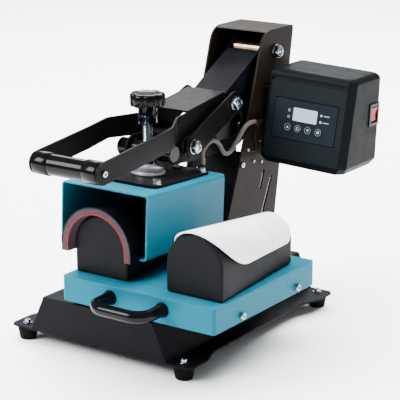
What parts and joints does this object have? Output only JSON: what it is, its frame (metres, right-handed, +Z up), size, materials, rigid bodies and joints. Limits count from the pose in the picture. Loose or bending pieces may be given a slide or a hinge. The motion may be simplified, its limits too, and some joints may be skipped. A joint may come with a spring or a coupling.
{
  "type": "shin guard heat press",
  "caption": "Manual heat press with a toggle lever, an arched heater, a sliding two-station tray with curved forms, and a tilted control box.",
  "frame": {"origin": "middle of the press's overall footprint, on the floor it stands on", "axes": "+Z up; -Y towards the operator, where the lever's grip is; +X to the operator's right, where the tray and the control box are"},
  "size_m": [0.3574, 0.503, 0.413],
  "materials": {
    "black_steel": "textured powder coat",
    "black_gloss": "gloss",
    "teal_steel": "satin powder coat",
    "rubber": "matt",
    "form_black": "fine matt",
    "bright_steel": "zinc plated",
    "aluminium": "machined",
    "copper": "worn plating",
    "red_silicone": "matt",
    "grey_foam": "matt",
    "white_plastic": "gloss",
    "dark_panel": "satin",
    "clear_window": "gloss",
    "red_switch": "gloss",
    "grey_braid": "braided sleeve",
    "board_green": "satin"
  },
  "bodies": {
    "frame": {"base_frame": "black_steel", "foot_front_left": "rubber", "foot_front_right": "rubber", "foot_rear_left": "rubber", "foot_rear_right": "rubber", "tray": "teal_steel", "tray_handle": "black_gloss", "form_left": "form_black", "form_right": "form_black", "guide_rod_front": "bright_steel", "guide_rod_rear": "bright_steel", "rod_bearing_front": "aluminium", "rod_bearing_rear": "aluminium", "column": "black_steel", "column_front_panel": "black_steel", "top_pivot_bolt": "bright_steel", "top_spacer_sleeve": "copper", "arm_pivot_pin": "black_steel", "heater_cable": "grey_braid", "cable_clip": "copper", "box_case": "black_steel", "box_bezel": "dark_panel", "display_window": "clear_window", "circuit_board": "board_green", "switch_bezel": "black_gloss", "power_inlet": "black_gloss", "box_bracket": "black_steel"},
    "link": {"upper_link": "black_steel"},
    "arm": {"pressing_arm": "black_steel", "cross_shaft": "black_gloss"},
    "lever": {"lever_frame": "black_steel", "link_plate_left": "black_steel", "link_plate_right": "black_steel", "lever_boss_left": "black_gloss", "lever_boss_right": "black_gloss", "lever_pivot_bolt": "bright_steel", "link_pivot_bolt": "bright_steel", "grip": "black_gloss"},
    "head": {"head_housing": "teal_steel", "head_plate": "black_steel", "head_boss": "aluminium", "head_screw_1": "bright_steel", "head_screw_2": "bright_steel", "head_screw_3": "bright_steel", "head_screw_4": "bright_steel", "guide_pin_left": "bright_steel", "guide_pin_right": "bright_steel", "heater_face": "grey_foam", "heater_liner": "red_silicone", "heater_mat": "grey_foam", "heater_shell": "black_gloss"},
    "knob": {"star_knob": "black_gloss", "pressure_stud": "bright_steel", "lock_nut": "bright_steel"},
    "rocker": {"power_rocker": "red_switch"},
    "button_1": {"button_1": "dark_panel"},
    "button_2": {"button_2": "dark_panel"},
    "button_3": {"button_3": "dark_panel"},
    "button_4": {"button_4": "dark_panel"},
    "blank": {"guard_blank": "white_plastic"}
  },
  "joints": [
    {"name": "arm_lift", "type": "hinge", "parent": "frame", "child": "arm", "pos_m": [-0.02275, 0.15105, 0.294], "axis": [-1, 0, 0], "range_deg": [0, 24], "deforming": ["heater_cable"]},
    {"name": "lever_swing", "type": "hinge", "parent": "arm", "child": "lever", "pos_m": [-0.02275, -0.01295, 0.275], "axis": [-1, 0, 0], "range_deg": [0, 19.3]},
    {"name": "link_swing", "type": "hinge", "parent": "frame", "child": "link", "pos_m": [-0.02275, 0.19805, 0.379], "axis": [-1, 0, 0], "range_deg": [-9.12, 0]},
    {"name": "knob_turn", "type": "hinge", "parent": "head", "child": "knob", "pos_m": [-0.02275, -0.06295, 0.3], "axis": [0, 0, 1], "range_deg": [0, 905]},
    {"name": "head_travel", "type": "slide", "parent": "arm", "child": "head", "axis": [0, 0, 1], "range_m": [0, 0.005]},
    {"name": "blank_lift_off", "type": "slide", "parent": "frame", "child": "blank", "axis": [0, 0, 1], "range_m": [0, 0.12]},
    {"name": "power_rocker_tilt", "type": "hinge", "parent": "frame", "child": "rocker", "pos_m": [0.17179, 0.23045, 0.29605], "axis": [0, -1, 0], "range_deg": [0, 10]},
    {"name": "button_1_press", "type": "slide", "parent": "frame", "child": "button_1", "axis": [-0.0062, 0.988, -0.1546], "range_m": [0, 0.001], "stiffness_N_per_m": 300, "springref_m": -0.001},
    {"name": "button_2_press", "type": "slide", "parent": "frame", "child": "button_2", "axis": [-0.0062, 0.988, -0.1546], "range_m": [0, 0.001], "stiffness_N_per_m": 300, "springref_m": -0.001},
    {"name": "button_3_press", "type": "slide", "parent": "frame", "child": "button_3", "axis": [-0.0062, 0.988, -0.1546], "range_m": [0, 0.001], "stiffness_N_per_m": 300, "springref_m": -0.001},
    {"name": "button_4_press", "type": "slide", "parent": "frame", "child": "button_4", "axis": [-0.0062, 0.988, -0.1546], "range_m": [0, 0.001], "stiffness_N_per_m": 300, "springref_m": -0.001}
  ],
  "couplings": [
    {"joint": "lever_swing", "follows": "arm_lift", "ratio": 0.8036},
    {"joint": "link_swing", "follows": "arm_lift", "ratio": -0.3796},
    {"joint": "knob_turn", "follows": "head_travel", "rad_per_m": 3141.6}
  ]
}
